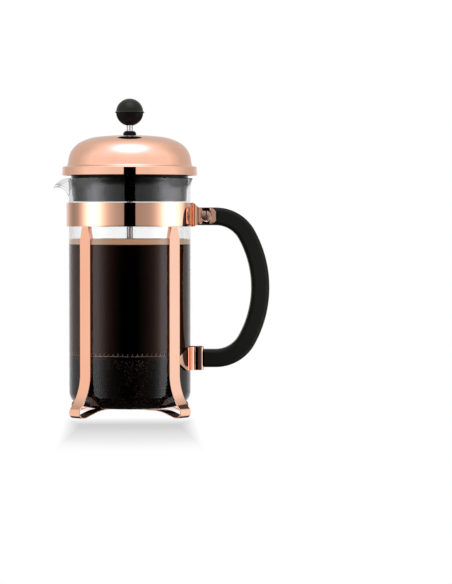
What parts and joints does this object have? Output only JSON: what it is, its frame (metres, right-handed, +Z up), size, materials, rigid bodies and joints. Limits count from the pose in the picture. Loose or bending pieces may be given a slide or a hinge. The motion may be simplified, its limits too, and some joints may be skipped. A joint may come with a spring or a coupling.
{
  "type": "french press",
  "caption": "Glass coffee press in a copper-coloured strip stand, with a black loop handle, a domed lid and a plunger whose spring-edged filter slides down the beaker.",
  "frame": {"origin": "on the beaker's axis at the level of the surface that the four feet stand on", "axes": "+Z up along the plunger's rod, +X towards the handle, -X towards the pouring lip, -Y towards the viewer"},
  "size_m": [0.1686, 0.1062, 0.2475],
  "materials": {
    "copper": "polished copper plating",
    "handle_black": "satin moulded",
    "liner_black": "smooth moulded",
    "glass": "clear",
    "steel": "bright stainless",
    "brass": "turned"
  },
  "bodies": {
    "frame": {"frame_band": "copper", "leg_strip_a": "copper", "leg_strip_b": "copper", "cross_rivet": "copper", "handle": "handle_black", "handle_clip_front": "copper", "handle_clip_rear": "copper", "handle_screw": "copper", "handle_nut": "copper"},
    "beaker": {"beaker": "glass"},
    "bush": {"rod_bush": "liner_black", "bush_clip": "steel"},
    "lid": {"lid_dome": "copper", "lid_liner": "liner_black"},
    "plunger": {"knob_base": "handle_black", "knob_cap": "handle_black", "knob_insert": "brass", "plunger_rod": "steel", "spiral_plate": "steel", "rim_spring": "steel", "filter_screen": "steel", "cross_plate": "steel", "hub_nut": "steel"}
  },
  "joints": [
    {"name": "beaker_lift", "type": "slide", "parent": "frame", "child": "beaker", "axis": [0, 0, 1], "range_m": [0, 0.165]},
    {"name": "lid_lift", "type": "slide", "parent": "beaker", "child": "bush", "axis": [0, 0, 1], "range_m": [0, 0.15]},
    {"name": "lid_turn", "type": "hinge", "parent": "bush", "child": "lid", "pos_m": [0, 0, 0.19], "axis": [0, 0, 1], "continuous": true},
    {"name": "plunger_slide", "type": "slide", "parent": "bush", "child": "plunger", "axis": [0, 0, 1], "range_m": [-0.0044, 0.114]}
  ]
}
